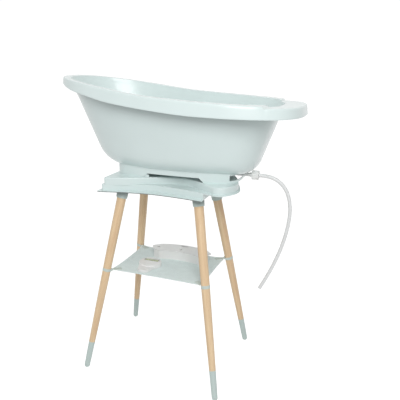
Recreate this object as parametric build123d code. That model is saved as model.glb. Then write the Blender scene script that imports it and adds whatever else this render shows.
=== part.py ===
from build123d import *
import math
import os

# Baby bathtub seated on its four-legged stand, with its drain hose, thermometer and accessory holder.
# Millimetres, +Z up, head end of the tub towards -X. The origin is on the floor, at the middle of the
# whole object's outline seen from above.
os.makedirs("parts", exist_ok=True)

# How the tub and the stand lie over each other
tray_top_z = 850.0
stand_x = -28.0
seat_shift_y = 30.0
stand_y = -seat_shift_y / 2
tub_y = seat_shift_y / 2
overrun = 5.0
part_gap = 0.3
slide_gap = 0.15

# Legs
foot_spread_x = 600.0
foot_spread_y = 492.0
leg_top_share = 0.6122
leg_top_setback_y = 187.0
leg_top_depth = 65.0
leg_top_radius = 18.8
leg_middle_radius = 16.6
leg_tip_radius = 11.8
leg_chamfer = 1.2
leg_bolt_depth = 52.0

# Foot caps
cap_length = 118.0
cap_flat_depth = 1.2
spigot_radius = 8.6
spigot_length = 62.0

# Leg sockets under the tray
socket_front_depth = 88.0
socket_back_depth = 115.0
socket_seat_depth = 35.0
socket_mouth_radius = 22.5
socket_top_radius = 24.5
socket_ear_reach = 34.0
socket_ear_radius = 9.0
socket_ear_thickness = 4.0
socket_screw_hole_radius = 2.3
insert_radius = 6.8
insert_length = 18.0
bolt_radius = 3.85
screw_shank_radius = 1.6
screw_length = 10.0
screw_head_radius = 3.9
screw_head_height = 2.4
screw_recess_radius = 1.5
screw_recess_depth = 1.3

# Stand tray: two stepped tiers over an outward flange, and a nose past the right-hand legs
tray_length_margin = 18.0
tray_depth_margin = 146.0
tray_shift_x = 5.0
tray_shift_y = 8.0
tray_wall = 3.0
tray_ledge_depth = 27.0
tray_flange_depth = 52.0
tray_lower_margin = 8.0
tray_flange_margin = 22.0
tray_top_dip = 118.0
tray_lower_dip = 68.0
tray_flange_dip = 44.0
tray_lower_share = 0.2795
tray_top_round = 5.0
tray_rib_depth = 14.0
tray_rib_thickness = 2.6
tray_pad_radius = 20.0
tray_boss_radius = 4.6
tray_pilot_radius = 1.7
tray_pilot_depth = 7.0

# The top's outline, as shares of its length and depth from its middle, without the hollow front
tray_outline_shares = [(0.405, -0.500), (0.502, -0.285), (0.425, 0.050), (0.270, 0.330), (0.060, 0.500),
                       (-0.140, 0.500), (-0.410, 0.385), (-0.500, 0.020), (-0.500, -0.500)]
top_front_shares = [(-0.330, 0.22), (-0.120, 0.77), (0.090, 1.00), (0.270, 0.39)]
lower_front_shares = [(-0.330, 0.58), (-0.120, 1.00), (0.090, 0.80), (0.270, 0.38)]
corner_ease_share = 0.45
tray_corner_share = 0.3

# Click tabs on the tray, which stand inside the tub's base ring
tab_width = 36.0
tab_thickness = 5.0
tab_height = 12.0
tab_round = 2.0
tab_head_setback = 144.0
tab_foot_setback = 72.0

# Fabric shelf between the legs
shelf_z = 452.0
shelf_thickness = 1.4
shelf_corner_inset_x = 12.08
shelf_corner_inset_y = 9.62
shelf_side_dip_x = 9.0
shelf_side_dip_y = 8.0
loop_band_rise = 5.0
loop_height = 15.0
loop_thickness = 1.6
loop_tongue_length = 46.0
loop_tongue_width = 22.0

# Tub bowl, measured from the bottom of its base ring
floor_rise = 28.0
tub_wall = 3.0
bowl_top_margin = 27.0
bowl_head_setback = 175.0
bowl_foot_setback = 166.0
bowl_side_setback = 83.0
bowl_head_slope_share = 0.4375
bowl_foot_slope_share = 0.345
bowl_side_slope_share = 0.22
bowl_head_bend = 130.0
bowl_foot_bend = 60.0
bowl_side_bend = 80.0
bowl_turn_shares = [0.0, 0.1, 0.2, 0.3, 0.4, 0.5, 0.6, 0.7, 0.78]
head_power = 2.4
foot_power = 3.0
outline_steps = 28

# Tub rim: a deck that falls from head to foot, with a flared skirt round it
rim_length = 960.0
rim_head_z = 373.0
rim_fall = 87.0
rim_foot_setback = 17.0
rim_half_width = 238.0
rim_flare_share = 0.15
rim_deck = 3.0
rim_skirt_wall = 3.0
rim_skirt_height = 45.0
rim_round = 5.0
rim_recess_setback = 114.0
rim_recess_run = 7.0
rim_recess_depth = 7.0
rim_fall_shares = [(-0.520, 1.02), (-0.333, 0.75), (-0.187, 0.52), (-0.052, 0.32), (0.078, 0.21),
                   (0.230, 0.11)]
rim_foot_fall_share = 0.03
skirt_drop_shares = [(-0.520, 0.44), (-0.448, 0.60), (-0.388, 0.80), (-0.310, 0.88), (-0.187, 1.00),
                     (0.083, 1.04), (0.250, 1.00), (0.400, 0.93), (0.520, 0.90)]

# Base ring under the tub
ring_head_setback = 63.0
ring_foot_setback = 48.0
ring_side_setback = 30.0
ring_wall = 3.0
ring_power = 4.0
ring_rise = 70.0
arch_height = 16.0
arch_head_setback = 148.0
arch_foot_setback = 128.0
arch_slope_run = 9.0
window_setback = 26.0
window_drop = 10.0
window_climb = 10.1

# Drain in the tub's floor, with its spigot out through the window in the base ring
drain_setback = 54.0
drain_hole_radius = 16.0
drain_body_radius = 15.0
drain_throat_radius = 12.0
drain_flange_radius = 25.0
drain_flange_thickness = 3.0
drain_gasket_thickness = 2.0
drain_depth = 20.0
nozzle_depth = 9.5
nozzle_radius = 7.0
nozzle_bore_radius = 5.0
spigot_thread_radius = 8.8
spigot_thread_reach = 30.0
spigot_reach = 52.0
strainer_radius = 26.0
strainer_thickness = 2.4
strainer_collar_length = 9.0
strainer_seat_radius = 10.5
plug_radius = 20.0
plug_thickness = 3.0
plug_stem_radius = 10.2
plug_stem_length = 7.0
plug_pull_width = 14.0
plug_pull_thickness = 4.0
plug_pull_height = 16.0
plug_pull_hole_radius = 3.5

# Hose coupling and hose
nut_radius = 17.5
nut_grip_depth = 1.0
nut_grip_radius = 1.6
nut_grip_count = 20
nut_length = 25.0
nut_reach = 38.0
nut_back_thickness = 3.0
thread_gap = 0.2
washer_thickness = 2.0
tail_flange_thickness = 4.0
tail_radius = 5.0
tail_bore_radius = 3.6
tail_barb_height = 0.15
tail_barb_length = 17.0
tail_barb_count = 3
hose_radius = 7.0
hose_bore_radius = 5.3
hose_start_gap = 0.4

# The hose's middle line from the nut, as x, y, z: chosen by hand, hanging free
hose_route = [(329.4, 15.0, 868.5), (367.4, 15.0, 868.5), (403.1, 15.2, 855.5), (431.4, 15.8, 830.1),
              (450.4, 16.6, 792.7), (459.1, 17.6, 743.4), (457.1, 18.4, 687.5), (447.8, 18.8, 628.2),
              (432.8, 18.4, 568.0), (412.5, 17.0, 507.3), (389.2, 14.8, 449.8), (364.7, 12.4, 397.2)]

# Accessory holder: a curved deck with walls under it, stored on the shelf
holder_x = 25.0
holder_y = 76.0
holder_height = 42.0
holder_tip_x = 140.0
holder_tip_y = 2.0
holder_back_corner_x = 108.0
holder_back_corner_y = 34.0
holder_back_y = 54.0
holder_front_corner_x = 124.0
holder_front_corner_y = -30.0
holder_front_bulge_x = 92.0
holder_front_bulge_y = -44.0
holder_front_y = -30.0
holder_corner_round = 12.0
holder_tip_round = 4.0
holder_bulge_round = 16.0
holder_wall = 2.6
holder_inset = 6.0
holder_hole_radius = 5.5
holder_hole_pitch = 106.0
holder_hole_y = -4.0
holder_side_hole_y = -6.0
holder_slot_length = 33.0
holder_slot_width = 8.0
holder_slot_y = 40.0
holder_groove_x = 50.0
holder_groove_length = 34.0
holder_groove_width = 1.6
holder_groove_depth = 0.8
holder_groove_y = 18.0

# Bath thermometer: a round head with a tapered tongue, stored on the shelf
thermo_x = -72.0
thermo_y = -45.0
thermo_radius = 49.0
thermo_back_height = 8.0
thermo_front_height = 9.0
thermo_tongue_front_height = 4.0
thermo_tongue_half_width = 39.0
thermo_tongue_start_y = -12.0
thermo_tip_half_width = 22.0
thermo_tip_y = -86.0
thermo_tip_round = 18.0
thermo_wall = 2.0
thermo_edge_round = 4.0
thermo_lip = 1.0
lens_width = 66.0
lens_depth = 20.0
lens_y = 18.0
lens_thickness = 1.6
lens_round = 4.0
display_margin = 2.5
display_thickness = 2.4
board_width = 64.0
board_depth = 48.0
board_y = 5.0
board_thickness = 1.6
cell_radius = 10.0
cell_thickness = 3.2
cell_y = -8.0
door_radius = 13.0
door_thickness = 1.6
door_slot_length = 16.0
door_slot_width = 2.0
door_slot_depth = 0.8
seal_radius = 11.0
seal_section_radius = 0.8
probe_radius = 3.0
probe_y = -70.0
thermo_screw_radius = 1.2
thermo_screw_head_radius = 2.4
thermo_screw_head_height = 1.2
thermo_screw_length = 9.0
thermo_screw_ring = 42.0
thermo_boss_radius = 3.2
thermo_screw_angles = [25.0, 155.0, 215.0, 325.0]

# Places that follow: the ring from the bowl, the tray from the ring, and the legs from the tray
bowl_top = rim_head_z + bowl_top_margin
bowl_head_corner = rim_length / 2 - bowl_head_setback
bowl_foot_corner = rim_length / 2 - bowl_foot_setback
bowl_side_corner = rim_half_width - bowl_side_setback
rim_foot_z = rim_head_z - rim_fall
rim_recess_x = rim_length / 2 - rim_recess_setback
ring_head_x = ring_head_setback - bowl_head_corner
ring_foot_x = bowl_foot_corner - ring_foot_setback
ring_length = ring_foot_x - ring_head_x
ring_centre_x = (ring_head_x + ring_foot_x) / 2
ring_half_width = bowl_side_corner - ring_side_setback
tab_places = [ring_head_x + tab_head_setback, ring_foot_x - tab_foot_setback]
arch_start_x = ring_head_x + arch_head_setback
arch_end_x = ring_foot_x - arch_foot_setback
nozzle_height = floor_rise - nozzle_depth
drain_bottom = floor_rise - drain_depth
drain_x = ring_foot_x - drain_setback
window_start_x = ring_foot_x - window_setback
window_bottom = nozzle_height - window_drop
window_top = nozzle_height + window_climb
spigot_thread_start_x = ring_foot_x + spigot_thread_reach
spigot_end_x = ring_foot_x + spigot_reach
nut_start_x = ring_foot_x + nut_reach
tray_length = ring_length + tray_length_margin
tray_depth = 2 * ring_half_width + tray_depth_margin
tray_centre_x = ring_centre_x - stand_x + tray_shift_x
tray_centre_y = tub_y - stand_y + tray_shift_y
tray_lower_reach = tray_centre_x + tray_lower_share * tray_length
tray_ledge_z = tray_top_z - tray_ledge_depth
tray_flange_z = tray_top_z - tray_flange_depth
socket_seat_z = tray_top_z - socket_seat_depth
leg_top_z = tray_top_z - leg_top_depth
leg_top_spread_x = leg_top_share * tray_length
leg_top_spread_y = tray_depth - leg_top_setback_y
loop_band_z = shelf_z + loop_band_rise

corner_names = {(-1, -1): "front_left", (1, -1): "front_right", (1, 1): "back_right", (-1, 1): "back_left"}
stand_place = Pos(stand_x, stand_y, 0)
tub_place = Pos(0, tub_y, tray_top_z)
shelf_rest_z = shelf_z + shelf_thickness + part_gap
nodes = {}


def eased_radii(points, closed=False):
    """Largest calm bend at each corner of a route: a share of its shorter run over the half turn's tangent."""
    places = [Vector(*point) for point in points]
    count = len(places)
    corners = range(count) if closed else range(1, count - 1)
    radii = []
    for corner in corners:
        before = places[corner] - places[corner - 1]
        after = places[(corner + 1) % count] - places[corner]
        half_turn = math.radians(before.get_angle(after)) / 2
        radii.append(corner_ease_share * min(before.length, after.length) / math.tan(half_turn))
    return radii


def slab(face, bottom, top):
    """A face drawn on the floor plane, as a plate between two heights."""
    return Pos(0, 0, bottom) * extrude(face, top - bottom)


def tube(outer, inner, height):
    return extrude(Circle(outer) - Circle(inner), height)


def half_space_above(z, size):
    return Pos(0, 0, z + size / 2) * Box(size, size, size)


# Legs, foot caps and sockets

def leg_axis(side_x, side_y):
    """The leg's own frame: its origin on the floor and its Z up the leg."""
    foot = Vector(side_x * foot_spread_x / 2, side_y * foot_spread_y / 2, 0)
    top = Vector(side_x * leg_top_spread_x / 2, side_y * leg_top_spread_y / 2, leg_top_z)
    return Plane(origin=foot, z_dir=top - foot), (top - foot).length


leg_frame, leg_length = leg_axis(1, 1)
leg_rise_share = leg_top_z / leg_length
tip_centre = (leg_tip_radius - cap_flat_depth) / leg_rise_share
cap_top = tip_centre + cap_length
socket_end = socket_seat_z / leg_rise_share
full_height = tray_top_z * 2


def leg_blank():
    """The whole tapered leg with its round tip, standing on its own axis."""
    tip = JernArc((0, tip_centre - leg_tip_radius), (1, 0), leg_tip_radius, 90)
    side = ThreePointArc((leg_tip_radius, tip_centre), (leg_middle_radius, leg_length / 2),
                         (leg_top_radius, leg_length - leg_chamfer))
    top = Polyline((leg_top_radius, leg_length - leg_chamfer), (leg_top_radius - leg_chamfer, leg_length),
                   (0, leg_length), (0, tip_centre - leg_tip_radius))
    profile = make_face([tip, side, top])
    return revolve(Plane.XZ * profile, Axis.Z)


def make_legs():
    blank = leg_blank()
    spigot = Pos(0, 0, cap_top - spigot_length) * extrude(Circle(spigot_radius), spigot_length)
    shaft = blank & half_space_above(cap_top, full_height)
    bolt_hole = Pos(0, 0, leg_length - leg_bolt_depth) * extrude(Circle(bolt_radius + slide_gap), full_height)
    leg = shaft + spigot - bolt_hole
    cap = blank - half_space_above(cap_top, full_height)
    pocket = extrude(Circle(spigot_radius + slide_gap), full_height)
    cap = cap - Pos(0, 0, cap_top - spigot_length - part_gap) * pocket
    bolt_bottom = leg_length - leg_bolt_depth + part_gap
    bolt = Pos(0, 0, bolt_bottom) * extrude(Circle(bolt_radius), leg_length + insert_length - bolt_bottom)
    insert = Pos(0, 0, leg_length + part_gap) * tube(insert_radius, bolt_radius + slide_gap, insert_length)
    bolts, inserts = [], []
    for (side_x, side_y), name in corner_names.items():
        frame, _ = leg_axis(side_x, side_y)
        place = stand_place * frame.location
        nodes["leg_" + name] = place * leg
        nodes["foot_cap_" + name] = split(place * cap, Plane.XY, keep=Keep.TOP)
        nodes["leg_socket_" + name] = make_socket(frame)
        bolts.append(place * bolt)
        inserts.append(place * insert)
    nodes["leg_bolts"] = Compound(bolts)
    nodes["socket_inserts"] = Compound(inserts)


def axis_point(frame, z):
    """Where a leg's axis passes a height, as x and y in the stand's frame."""
    along = frame.z_dir
    reach = (z - frame.origin.Z) / along.Z
    return frame.origin.X + along.X * reach, frame.origin.Y + along.Y * reach


def socket_screw_places(frame):
    """One screw beside the leg and one behind it, both towards the tray's middle."""
    x, y = axis_point(frame, socket_seat_z)
    return [(x - math.copysign(socket_ear_reach, x), y), (x, y - math.copysign(socket_ear_reach, y))]


def make_socket(frame):
    """A cup on the slant of the leg, longer at the back, with two screw ears against the tray's bosses."""
    depth = socket_front_depth if frame.origin.Y < 0 else socket_back_depth
    socket_mouth = (tray_top_z - depth) / leg_rise_share
    cup = Pos(0, 0, socket_mouth) * Cone(socket_mouth_radius, socket_top_radius, socket_end - socket_mouth,
                                        align=(Align.CENTER, Align.CENTER, Align.MIN))
    tail = Pos(0, 0, socket_end) * extrude(Circle(socket_top_radius), socket_top_radius)
    bore = extrude(Circle(leg_top_radius + part_gap), leg_length + part_gap)
    pocket = extrude(Circle(insert_radius + slide_gap / 2), leg_length + insert_length + 2 * part_gap)
    body = frame.location * (cup + tail)
    body = split(body, Plane.XY.offset(socket_seat_z), keep=Keep.BOTTOM)
    x, y = axis_point(frame, socket_seat_z)
    for hole_x, hole_y in socket_screw_places(frame):
        ear = SlotCenterToCenter(socket_ear_reach, 2 * socket_ear_radius, rotation=90 if hole_x == x else 0)
        ear = Pos((x + hole_x) / 2, (y + hole_y) / 2) * ear
        body = body + slab(ear, socket_seat_z - socket_ear_thickness, socket_seat_z)
    body = body - frame.location * (bore + pocket)
    for hole_x, hole_y in socket_screw_places(frame):
        body = body - Pos(hole_x, hole_y, 0) * extrude(Circle(socket_screw_hole_radius), full_height)
    return stand_place * body


def make_socket_screws():
    screws = []
    for side_x, side_y in corner_names:
        frame, _ = leg_axis(side_x, side_y)
        for x, y in socket_screw_places(frame):
            seat = socket_seat_z - socket_ear_thickness
            shank = extrude(Circle(screw_shank_radius), screw_length)
            head = Pos(0, 0, -screw_head_height) * extrude(Circle(screw_head_radius), screw_head_height)
            recess = Pos(0, 0, -screw_head_height) * extrude(Circle(screw_recess_radius), screw_recess_depth)
            screws.append(stand_place * Pos(x, y, seat) * (shank + head - recess))
    nodes["socket_screws"] = Compound(screws)


# Stand tray

def tray_outline(margin, dip, front_shares=lower_front_shares, reach=None):
    """The tray's outline from above, wider by a margin, with its front drawn in by a dip."""
    half_length = tray_length / 2 + margin
    half_depth = tray_depth / 2 + margin
    back = [(tray_centre_x + share_x * 2 * half_length, tray_centre_y + share_y * 2 * half_depth)
            for share_x, share_y in tray_outline_shares]
    front_y = tray_centre_y - half_depth
    front = [(tray_centre_x + share_x * 2 * half_length, front_y + dip * share_dip)
             for share_x, share_dip in front_shares]
    points = back + front
    radii = eased_radii(points, closed=True)
    radii[len(back) - 1] *= tray_corner_share
    outline = make_face(FilletPolyline(*points, radius=radii, close=True))
    if reach is not None:
        keep = Pos(reach - full_height / 2, 0) * Rectangle(full_height, full_height)
        outline = outline & keep
    return outline


def make_tray():
    """A stepped shell, open below, with ribs, socket pads and screw bosses under its top."""
    top_face = tray_outline(0, tray_top_dip, top_front_shares)
    ledge_face = tray_outline(tray_lower_margin, tray_lower_dip)
    lower_face = tray_outline(tray_lower_margin, tray_lower_dip, reach=tray_lower_reach)
    flange_face = tray_outline(tray_flange_margin, tray_flange_dip, reach=tray_lower_reach)
    crown = slab(top_face, tray_ledge_z - tray_wall, tray_top_z)
    crown = fillet(crown.edges().group_by(Axis.Z)[-1], tray_top_round)
    solid = crown + slab(ledge_face, tray_ledge_z - tray_wall, tray_ledge_z)
    solid = solid + slab(lower_face, tray_flange_z - tray_wall, tray_ledge_z)
    solid = solid + slab(flange_face, tray_flange_z - tray_wall, tray_flange_z)
    top_inside = tray_outline(-tray_wall, tray_top_dip, top_front_shares)
    lower_inside = tray_outline(tray_lower_margin - tray_wall, tray_lower_dip,
                                reach=tray_lower_reach - tray_wall)
    nose = Pos(tray_lower_reach + full_height / 2, 0) * Rectangle(full_height, full_height)
    passage = (top_inside & lower_inside) + (top_inside & nose)
    shell = solid - slab(top_inside, tray_ledge_z, tray_top_z - tray_wall)
    shell = shell - slab(passage, tray_ledge_z - tray_wall, tray_ledge_z)
    shell = shell - slab(lower_inside, tray_flange_z - overrun, tray_ledge_z - tray_wall)
    rib_limit = tray_outline(-tray_wall / 2, tray_top_dip, top_front_shares)
    shell = shell + (tray_ribs() & slab(rib_limit, 0, tray_top_z - tray_wall / 2))
    pads = []
    for side_x, side_y in corner_names:
        frame, _ = leg_axis(side_x, side_y)
        x, y = axis_point(frame, socket_seat_z)
        pads.append(Pos(x, y, socket_seat_z) * tube(tray_pad_radius, tray_pad_radius - tray_wall, full_height))
        for hole_x, hole_y in socket_screw_places(frame):
            pads.append(Pos(hole_x, hole_y, socket_seat_z) * extrude(Circle(tray_boss_radius), full_height))
    limit = slab(top_face, 0, tray_top_z - tray_wall / 2) + slab(lower_face, 0, tray_ledge_z - tray_wall / 2)
    for pad in pads:
        shell = shell + (pad & limit)
    for side_x, side_y in corner_names:
        for hole_x, hole_y in socket_screw_places(leg_axis(side_x, side_y)[0]):
            pilot = extrude(Circle(tray_pilot_radius), tray_pilot_depth)
            shell = shell - Pos(hole_x, hole_y, socket_seat_z) * pilot
    nodes["stand_tray"] = stand_place * shell


def make_tabs():
    """Click tabs moulded on the tray's top, one node of their own so that their collision stays small."""
    tab = Box(tab_width, tab_thickness, tab_height, align=(Align.CENTER, Align.CENTER, Align.MIN))
    tab = fillet(tab.edges().filter_by(Axis.Z) + tab.edges().group_by(Axis.Z)[-1], tab_round)
    tab = Pos(0, 0, tray_top_z) * tab
    nodes["tray_tabs"] = Compound([stand_place * place * tab for place in tab_frames()])


def tray_ribs():
    rib_bottom = tray_top_z - tray_wall - tray_rib_depth
    pad_x, pad_y = axis_point(leg_axis(1, 1)[0], socket_seat_z)
    long_rib = Rectangle(tray_length, tray_rib_thickness)
    cross_rib = Rectangle(tray_rib_thickness, tray_depth + pad_y)
    plan = Pos(tray_centre_x, pad_y) * long_rib + Pos(tray_centre_x, 0) * long_rib
    for x in (-pad_x, 0, pad_x):
        plan = plan + Pos(x, tray_centre_y) * cross_rib
    ribs = slab(plan, rib_bottom, tray_top_z)
    for side_x, side_y in corner_names:
        x, y = axis_point(leg_axis(side_x, side_y)[0], socket_seat_z)
        ribs = ribs - Pos(x, y, 0) * extrude(Circle(tray_pad_radius - tray_wall / 2), full_height)
    return ribs


def tab_frames():
    """Places of the click tabs in the stand's frame, just inside the tub's base ring."""
    places = []
    for x in tab_places:
        outer_corner = abs(x - ring_centre_x) + tab_width / 2
        inner_half_length = ring_length / 2 - ring_wall
        reach_share = (1 - (outer_corner / inner_half_length) ** ring_power) ** (1 / ring_power)
        y = reach_share * (ring_half_width - ring_wall) - tab_thickness / 2 - 2 * part_gap
        # The tray's rounded back corner leaves no room for a tab at the foot end
        for side in (-1, 1) if x == tab_places[0] else (-1,):
            places.append(Pos(x - stand_x, tub_y + side * y - stand_y, 0))
    return places


# Fabric shelf

def make_shelf():
    """A taut sheet with hollow edges, and a webbing loop round each leg sewn to its corner."""
    leg_x, leg_y = axis_point(leg_axis(1, 1)[0], loop_band_z)
    corner_x, corner_y = leg_x - shelf_corner_inset_x, leg_y - shelf_corner_inset_y
    side_x, side_y = corner_x - shelf_side_dip_x, corner_y - shelf_side_dip_y
    corners = [(-corner_x, -corner_y), (corner_x, -corner_y), (corner_x, corner_y), (-corner_x, corner_y)]
    middles = [(0, -side_y), (side_x, 0), (0, side_y), (-side_x, 0)]
    edges = [ThreePointArc(corners[side], middles[side], corners[(side + 1) % len(corners)])
             for side in range(len(corners))]
    sheet = slab(make_face(edges), shelf_z, shelf_z + shelf_thickness)
    for (side_x, side_y), name in corner_names.items():
        frame, _ = leg_axis(side_x, side_y)
        x, y = axis_point(frame, loop_band_z)
        middle = loop_band_z / leg_rise_share
        leg_share = middle / leg_length
        inner = leg_tip_radius + (leg_top_radius - leg_tip_radius) * leg_share + 2 * part_gap + leg_chamfer
        band = Pos(0, 0, middle - loop_height / 2) * tube(inner + loop_thickness, inner, loop_height)
        clear = Pos(0, 0, middle - loop_height) * extrude(Circle(inner), 2 * loop_height)
        outside = Pos(0, 0, middle - loop_height) * extrude(Circle(inner + loop_thickness + part_gap),
                                                            2 * loop_height)
        heading = math.degrees(math.atan2(-y, -x))
        tongue = Rectangle(loop_tongue_length + inner, loop_tongue_width, align=(Align.MIN, Align.CENTER))
        tongue_z = shelf_z + shelf_thickness
        tongue = Pos(x, y, 0) * Rot(0, 0, heading) * slab(tongue, tongue_z, tongue_z + loop_thickness)
        loop = frame.location * band + (tongue - frame.location * clear)
        sheet = sheet - frame.location * outside
        nodes["shelf_loop_" + name] = stand_place * loop
    nodes["shelf_sheet"] = stand_place * sheet


# Tub

def egg_outline(head_reach, foot_reach, half_width, head_curve=None, foot_curve=None):
    """A smooth closed outline, longer or fuller at one end: a superellipse in two halves."""
    points = []
    for step in range(outline_steps):
        turn = 2 * math.pi * (step + 0.5) / outline_steps
        along, across = math.cos(turn), math.sin(turn)
        power = (foot_curve or foot_power) if along > 0 else (head_curve or head_power)
        reach = foot_reach if along > 0 else head_reach
        x = math.copysign(abs(along) ** (2 / power), along) * reach
        y = math.copysign(abs(across) ** (2 / power), across) * half_width
        points.append((x, y))
    return make_face(Spline(*points, periodic=True))


def wall_reach(height, corner, slope, bend):
    """How far a wall reaches at a height over its floor: a bend, then a straight lean."""
    lean = math.atan(slope)
    tangent = bend * math.tan((math.pi / 2 - lean) / 2)
    if height < tangent * math.cos(lean):
        return corner - tangent + math.sqrt(bend ** 2 - (bend - height) ** 2)
    return corner + slope * height


def bowl_block(inset):
    """The bowl's outside, or its inside where inset is the wall, as a filled block."""
    walls = [(bowl_head_corner, bowl_head_slope_share, bowl_head_bend),
             (bowl_foot_corner, bowl_foot_slope_share, bowl_foot_bend),
             (bowl_side_corner, bowl_side_slope_share, bowl_side_bend)]
    heights = [bowl_head_bend * (1 - math.cos(share * math.pi / 2)) for share in bowl_turn_shares]
    heights.append(bowl_top - floor_rise)
    sections = []
    for height in heights:
        reaches = []
        for corner, slope, bend in walls:
            shifted = corner - inset * math.hypot(1, slope) + slope * inset
            reaches.append(wall_reach(height, shifted, slope, bend - inset))
        sections.append(Pos(0, 0, floor_rise + inset + height) * egg_outline(*reaches))
    return loft(sections, ruled=True)


def rim_line(drop):
    """Points of the rim's top line from head to foot, lowered by a drop, with the foot's recess."""
    points = [(share_x * rim_length, rim_foot_z + share_z * rim_fall - drop)
              for share_x, share_z in rim_fall_shares]
    step_z = rim_foot_z + rim_foot_fall_share * rim_fall - drop
    recess_z = step_z - rim_recess_depth
    points.append((rim_recess_x, step_z))
    return points, (rim_recess_x + rim_recess_run, recess_z), (rim_length, recess_z)


def below_rim(drop):
    """Everything under the rim's top line."""
    points, step_foot, far_foot = rim_line(drop)
    head = Vector(*points[0])
    line = [Spline(*points), Line(points[-1], step_foot), Line(step_foot, far_foot),
            Line(far_foot, (far_foot[0], 0)), Line((far_foot[0], 0), (head.X, 0)), Line((head.X, 0), points[0])]
    return extrude(Plane.XZ * make_face(line), rim_length, both=True)


def below_skirt():
    """Everything under the skirt's bottom line."""
    rim_points = [(share_x * rim_length, rim_foot_z + share_z * rim_fall)
                  for share_x, share_z in rim_fall_shares]
    rim_points.append((rim_length / 2 + overrun, rim_foot_z))
    points = []
    for share_x, share_drop in skirt_drop_shares:
        x = share_x * rim_length
        points.append((x, line_height(rim_points, x) - share_drop * rim_skirt_height))
    first, last = points[0], points[-1]
    line = [Spline(*points), Polyline(last, (last[0], 0), (first[0], 0), first)]
    return extrude(Plane.XZ * make_face(line), rim_length, both=True)


def line_height(points, x):
    """Height of a run of straight pieces at x."""
    for (x_a, z_a), (x_b, z_b) in zip(points, points[1:]):
        if x <= x_b:
            return z_a + (z_b - z_a) * (x - x_a) / (x_b - x_a)
    return points[-1][1]


def rim_block(inset):
    """The rim's flared outside as a filled block."""
    sections = []
    for z in (rim_head_z + overrun, rim_foot_z - 2 * rim_skirt_height):
        flare = rim_flare_share * (rim_head_z - z)
        head = rim_length / 2 + flare - inset
        foot = rim_length / 2 - rim_foot_setback + flare - inset
        sections.append(Pos(0, 0, z) * egg_outline(head, foot, rim_half_width + flare - inset))
    return loft(sections, ruled=True)


def make_tub():
    outside = bowl_block(0)
    inside = bowl_block(tub_wall)
    under_rim = below_rim(0)
    drain_hole = Pos(drain_x, 0, 0) * extrude(Circle(drain_hole_radius), bowl_top)
    bowl = (outside - inside) & under_rim
    bowl = bowl - drain_hole
    nodes["tub_bowl"] = tub_place * bowl
    rim = rim_block(0) & under_rim
    upper_edges = [edge for edge in rim.edges().filter_by(GeomType.BSPLINE)
                   if edge.length > rim_skirt_height and edge.center().Z > rim_foot_z - rim_skirt_height]
    rim = fillet(upper_edges, rim_round)
    rim = rim - (rim_block(rim_skirt_wall) & below_rim(rim_deck))
    rim = rim - below_skirt() - outside
    nodes["tub_rim"] = tub_place * rim
    nodes["tub_base_ring"] = tub_place * base_ring(outside)


def base_ring(bowl_outside):
    """The upright ring the tub stands on, arched on both long sides, with a window at its foot end."""
    half = ring_length / 2
    outer = egg_outline(half, half, ring_half_width, ring_power, ring_power)
    inner = egg_outline(half - ring_wall, half - ring_wall, ring_half_width - ring_wall, ring_power, ring_power)
    ring = Pos(ring_centre_x, 0, 0) * (slab(outer, 0, ring_rise) - slab(inner, -overrun, ring_rise + overrun))
    ring = ring - bowl_outside
    arch = [(arch_start_x - arch_slope_run, -overrun), (arch_start_x - arch_slope_run, 0),
            (arch_start_x + arch_slope_run, arch_height), (arch_end_x - arch_slope_run, arch_height),
            (arch_end_x + arch_slope_run, 0), (arch_end_x + arch_slope_run, -overrun)]
    arch_block = extrude(Plane.XZ * make_face(Polyline(*arch, close=True)), ring_length, both=True)
    window_length = ring_length / 2
    window = Pos(window_start_x, 0, window_bottom) * Box(window_length, ring_length, window_top - window_bottom,
                                                        align=(Align.MIN, Align.CENTER, Align.MIN))
    ring = ring - arch_block - window
    return max(ring.solids(), key=lambda solid: solid.volume)


# Drain and hose coupling

def x_tube(outer, inner, start, end):
    """A tube along X at the nozzle's height, in the tub's frame."""
    place = Pos(start, 0, nozzle_height) * Rot(0, 90, 0)
    if inner:
        return place * tube(outer, inner, end - start)
    return place * extrude(Circle(outer), end - start)


def make_drain():
    flange_top = floor_rise - drain_gasket_thickness
    body = Pos(0, 0, drain_bottom) * extrude(Circle(drain_body_radius), flange_top - drain_bottom)
    flange = Pos(0, 0, flange_top - drain_flange_thickness) * extrude(Circle(drain_flange_radius),
                                                                    drain_flange_thickness)
    throat = Pos(0, 0, drain_bottom + drain_flange_thickness) * extrude(Circle(drain_throat_radius), bowl_top)
    body = Pos(drain_x, 0, 0) * (body + flange)
    body = body + x_tube(nozzle_radius, 0, drain_x, spigot_end_x)
    body = body + x_tube(spigot_thread_radius, 0, spigot_thread_start_x, spigot_end_x)
    body = body - Pos(drain_x, 0, 0) * throat - x_tube(nozzle_bore_radius, 0, drain_x, spigot_end_x + overrun)
    nodes["drain_body"] = tub_place * body
    gasket = Pos(drain_x, 0, flange_top) * tube(drain_flange_radius, drain_hole_radius, drain_gasket_thickness)
    nodes["drain_gasket"] = tub_place * gasket
    floor_top = floor_rise + tub_wall
    disc = Pos(0, 0, floor_top) * tube(strainer_radius, strainer_seat_radius, strainer_thickness)
    collar_z = floor_top - strainer_collar_length
    collar_radius = drain_throat_radius - slide_gap
    collar = Pos(0, 0, collar_z) * tube(collar_radius, strainer_seat_radius, strainer_collar_length)
    bar = Rectangle(2 * strainer_seat_radius, strainer_thickness)
    grid = slab(bar + Rot(0, 0, 90) * bar, collar_z, collar_z + strainer_thickness / 2)
    nodes["drain_strainer"] = tub_place * Pos(drain_x, 0, 0) * (disc + collar + grid)
    make_plug(floor_top + strainer_thickness)


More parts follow.
